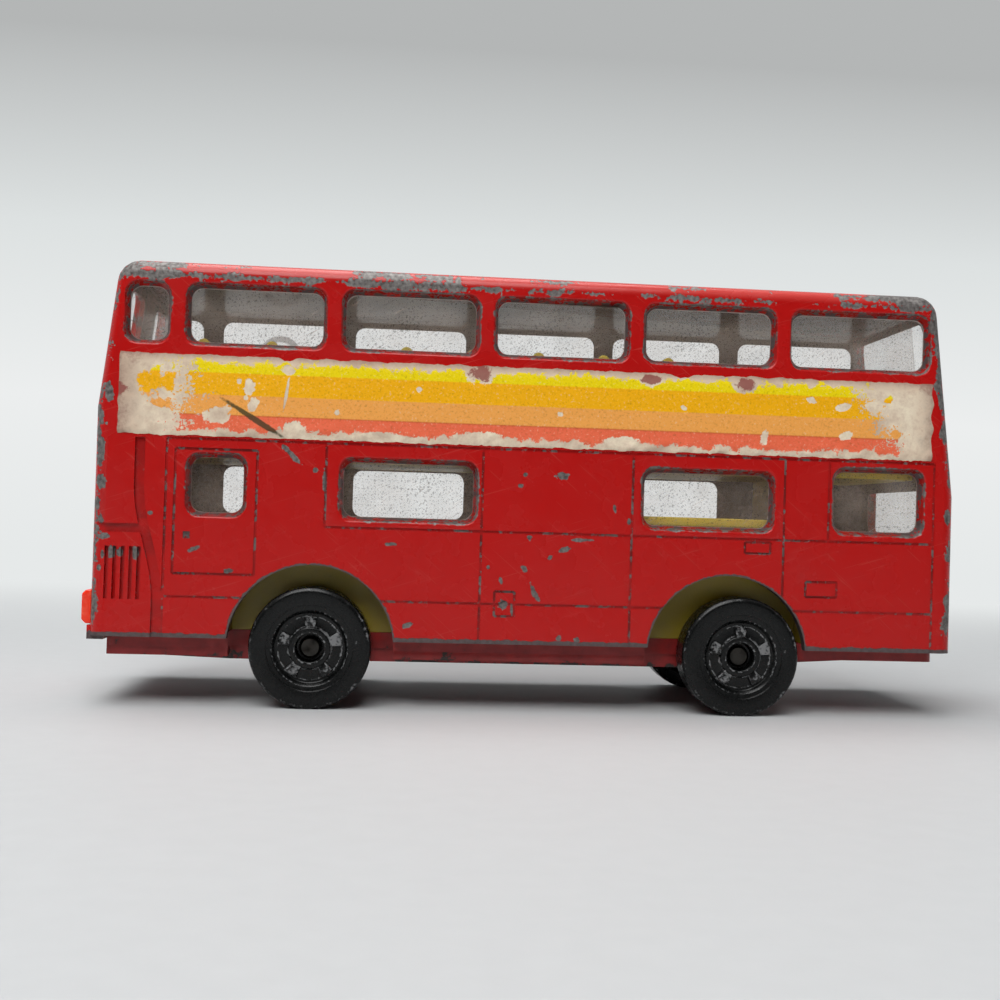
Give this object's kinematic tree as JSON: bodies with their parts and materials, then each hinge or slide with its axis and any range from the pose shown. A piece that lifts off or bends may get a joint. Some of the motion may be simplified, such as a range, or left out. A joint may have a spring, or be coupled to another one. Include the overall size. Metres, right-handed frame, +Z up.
{
  "type": "toy bus",
  "caption": "Die-cast toy double-decker bus with clear windows, seats inside, striped side labels and free-rolling wheels on wire axles.",
  "frame": {"origin": "on the ground, below the middle of the whole bus", "axes": "+X to the front of the bus, +Y to its left side, +Z up"},
  "size_m": [0.077, 0.0238, 0.0382],
  "materials": {
    "red_paint": "gloss, chipped",
    "dark_red_paint": "satin",
    "clear_plastic": "clear, scratched",
    "yellow_plastic": "satin",
    "steel_wire": "drawn wire",
    "black_plastic": "semi-gloss, scuffed",
    "printed_paper": "worn print",
    "orange_plastic": "gloss"
  },
  "bodies": {
    "bus": {"body_shell": "red_paint", "base_plate": "dark_red_paint", "window_glazing": "clear_plastic", "upper_saloon": "yellow_plastic", "lower_saloon": "yellow_plastic", "label_right": "printed_paper", "label_left": "printed_paper", "tail_lamp_right": "orange_plastic", "tail_lamp_left": "orange_plastic"},
    "rear_axle": {"rear_axle": "steel_wire"},
    "front_axle": {"front_axle": "steel_wire"},
    "wheel_rear_right": {"wheel_rear_right": "black_plastic"},
    "wheel_rear_left": {"wheel_rear_left": "black_plastic"},
    "wheel_front_right": {"wheel_front_right": "black_plastic"},
    "wheel_front_left": {"wheel_front_left": "black_plastic"}
  },
  "joints": [
    {"name": "rear_axle_turn", "type": "hinge", "parent": "bus", "child": "rear_axle", "pos_m": [-0.01897, 0, 0.00525], "axis": [0, 1, 0], "continuous": true},
    {"name": "front_axle_turn", "type": "hinge", "parent": "bus", "child": "front_axle", "pos_m": [0.01883, 0, 0.00525], "axis": [0, 1, 0], "continuous": true},
    {"name": "wheel_rear_right_spin", "type": "hinge", "parent": "rear_axle", "child": "wheel_rear_right", "pos_m": [-0.01897, 0, 0.00525], "axis": [0, 1, 0], "continuous": true},
    {"name": "wheel_rear_left_spin", "type": "hinge", "parent": "rear_axle", "child": "wheel_rear_left", "pos_m": [-0.01897, 0, 0.00525], "axis": [0, 1, 0], "continuous": true},
    {"name": "wheel_front_right_spin", "type": "hinge", "parent": "front_axle", "child": "wheel_front_right", "pos_m": [0.01883, 0, 0.00525], "axis": [0, 1, 0], "continuous": true},
    {"name": "wheel_front_left_spin", "type": "hinge", "parent": "front_axle", "child": "wheel_front_left", "pos_m": [0.01883, 0, 0.00525], "axis": [0, 1, 0], "continuous": true}
  ]
}
